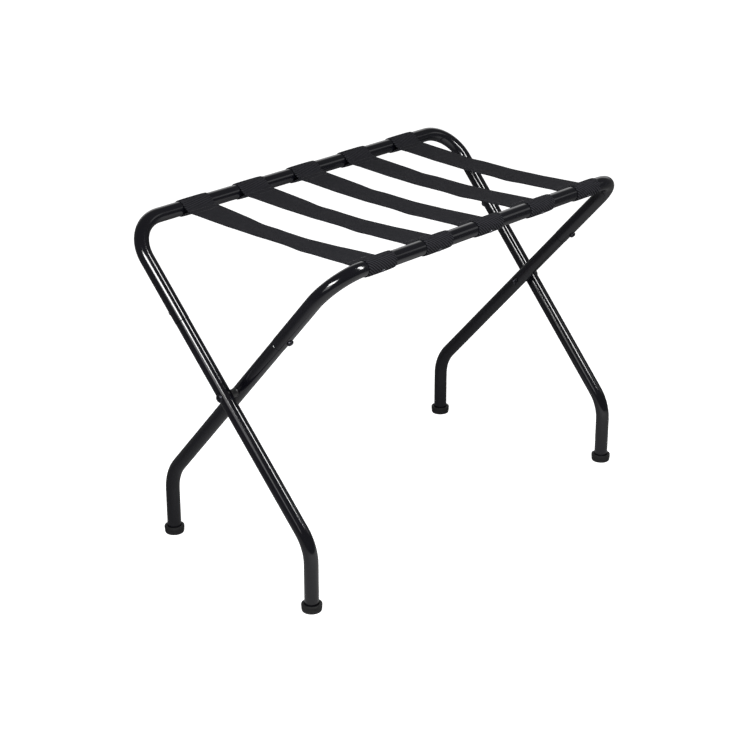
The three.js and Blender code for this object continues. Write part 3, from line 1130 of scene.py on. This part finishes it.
def make_studio():
    deselect()
    bpy.ops.mesh.primitive_plane_add(size=60, location=(0, 0, -0.2 * MM))
    stage_piece("studio_floor", glowing_card("white_sweep", 0.96, "#bcbcbc")[0], glossy=False)

    # Painted reflection: a sheet that glows but lights nothing and casts no shadow, seen only by the
    # gloss, which sees the sweep as lit paper, brightest in front of the rack and falling away round it.
    bpy.ops.mesh.primitive_plane_add(size=6, location=(-0.2, -0.7, -0.1 * MM))
    paper, tree, shader = glowing_card("painted_floor_reflection", 1)
    spot = node(tree, "ShaderNodeTexCoord").outputs["Object"]
    away = node(tree, "ShaderNodeVectorMath", {0: spot, 1: PAPER_CENTRE}, operation="DISTANCE")
    glow = share_between(tree, away.outputs["Value"], 0.45, 1.4, 0.88, 0.12)
    tree.links.new(glow, shader.inputs["Emission Strength"])
    stage_piece("painted_floor_reflection", paper, camera=False, diffuse=False, shadow=False)

    # A white backdrop stands round the floor
    bpy.ops.mesh.primitive_cylinder_add(vertices=64, radius=29, depth=60, end_fill_type="NOTHING")
    stage_piece(
        "backdrop", glowing_card("backdrop_card", 1)[0], glossy=False, diffuse=False, shadow=False
    )

    # Beyond the paper the room is dark, but for a white wall behind the rack
    world = bpy.data.worlds.new("studio")
    world.use_nodes = True
    tree = world.node_tree
    towards = node(tree, "ShaderNodeTexCoord").outputs["Generated"]
    height = node(tree, "ShaderNodeSeparateXYZ", {"Vector": towards}).outputs["Z"]
    behind = node(
        tree, "ShaderNodeVectorMath", {0: towards, 1: BEHIND_RACK}, operation="DOT_PRODUCT"
    ).outputs["Value"]
    wall = share_between(tree, behind, 0.7, 0.95, 0.14, 1.3)
    surround = node(
        tree,
        "ShaderNodeMix",
        {"Factor": share_between(tree, height, -0.05, 0.3, 0, 1), "A": 0.12, "B": wall},
    )
    tree.links.new(surround.outputs["Result"], tree.nodes["Background"].inputs["Strength"])
    tree.nodes["Background"].inputs["Color"].default_value = (1, 1, 1, 1)
    bpy.context.scene.world = world

    softbox("left_box", (-1.46, -0.45, 1.42), 0.75, 0.42, 30)
    softbox("left_spill", (-1.76, -0.51, 0.98), 0.75, 0.55, 3)
    softbox("top_front_box", (0.24, -0.90, 1.42), 0.2, 0.75, 16)
    softbox("right_box", (1.79, -1.56, 1.45), 0.7, 0.7, 1.2)
    bpy.context.scene.view_settings.view_transform = "Standard"


def make_camera():
    bpy.ops.object.camera_add(
        location=CAMERA_PLACE,
        rotation=(math.radians(90 - CAMERA_DIP), 0, math.radians(CAMERA_TURN)),
    )
    camera = bpy.context.object
    camera.name = "view_camera"
    camera.data.sensor_width = 36
    camera.data.lens = CAMERA_LENS
    bpy.context.scene.camera = camera


# ---- The rack ----

make_camera()
make_studio()

leg_pattern = leg_tube()
screw_pattern = socket_head("screw_pattern", 5.4 * MM, 3.6 * MM, 13 * MM)
cup_pattern = foot_cup("cup_pattern")
outer_sides = [("left", -1), ("right", 1)]
inner_sides = [("left", 1), ("right", -1)]
make_frame("outer", OUTER_HALF_WIDTH, "outer_frame", outer_sides, leg_pattern, screw_pattern, cup_pattern)
make_frame("inner", INNER_HALF_WIDTH, "inner_frame", inner_sides, leg_pattern, screw_pattern, cup_pattern)

legs_apart = pivot_x(OUTER_HALF_WIDTH) - pivot_x(INNER_HALF_WIDTH) - 2 * LEG_RADIUS
bolt_length = 4 * LEG_RADIUS + legs_apart + NUT_THREAD
bolt_pattern = socket_head("bolt_pattern", 6.6 * MM, 3 * MM, bolt_length)
nut_pattern = cap_nut("nut_pattern")
spacer_pattern = saddle_spacer("spacer_pattern", legs_apart + SADDLE_DEPTH)
for side_name, side in outer_sides:
    make_pivot(side_name, side, bolt_pattern, nut_pattern, spacer_pattern)

rivet_pattern = strap_rivet()
for strap_index in range(1, STRAP_COUNT + 1):
    make_strap(strap_index, rivet_pattern)

for pattern in (
    leg_pattern,
    screw_pattern,
    cup_pattern,
    bolt_pattern,
    nut_pattern,
    spacer_pattern,
    rivet_pattern,
):
    clear_away(pattern)
deselect()
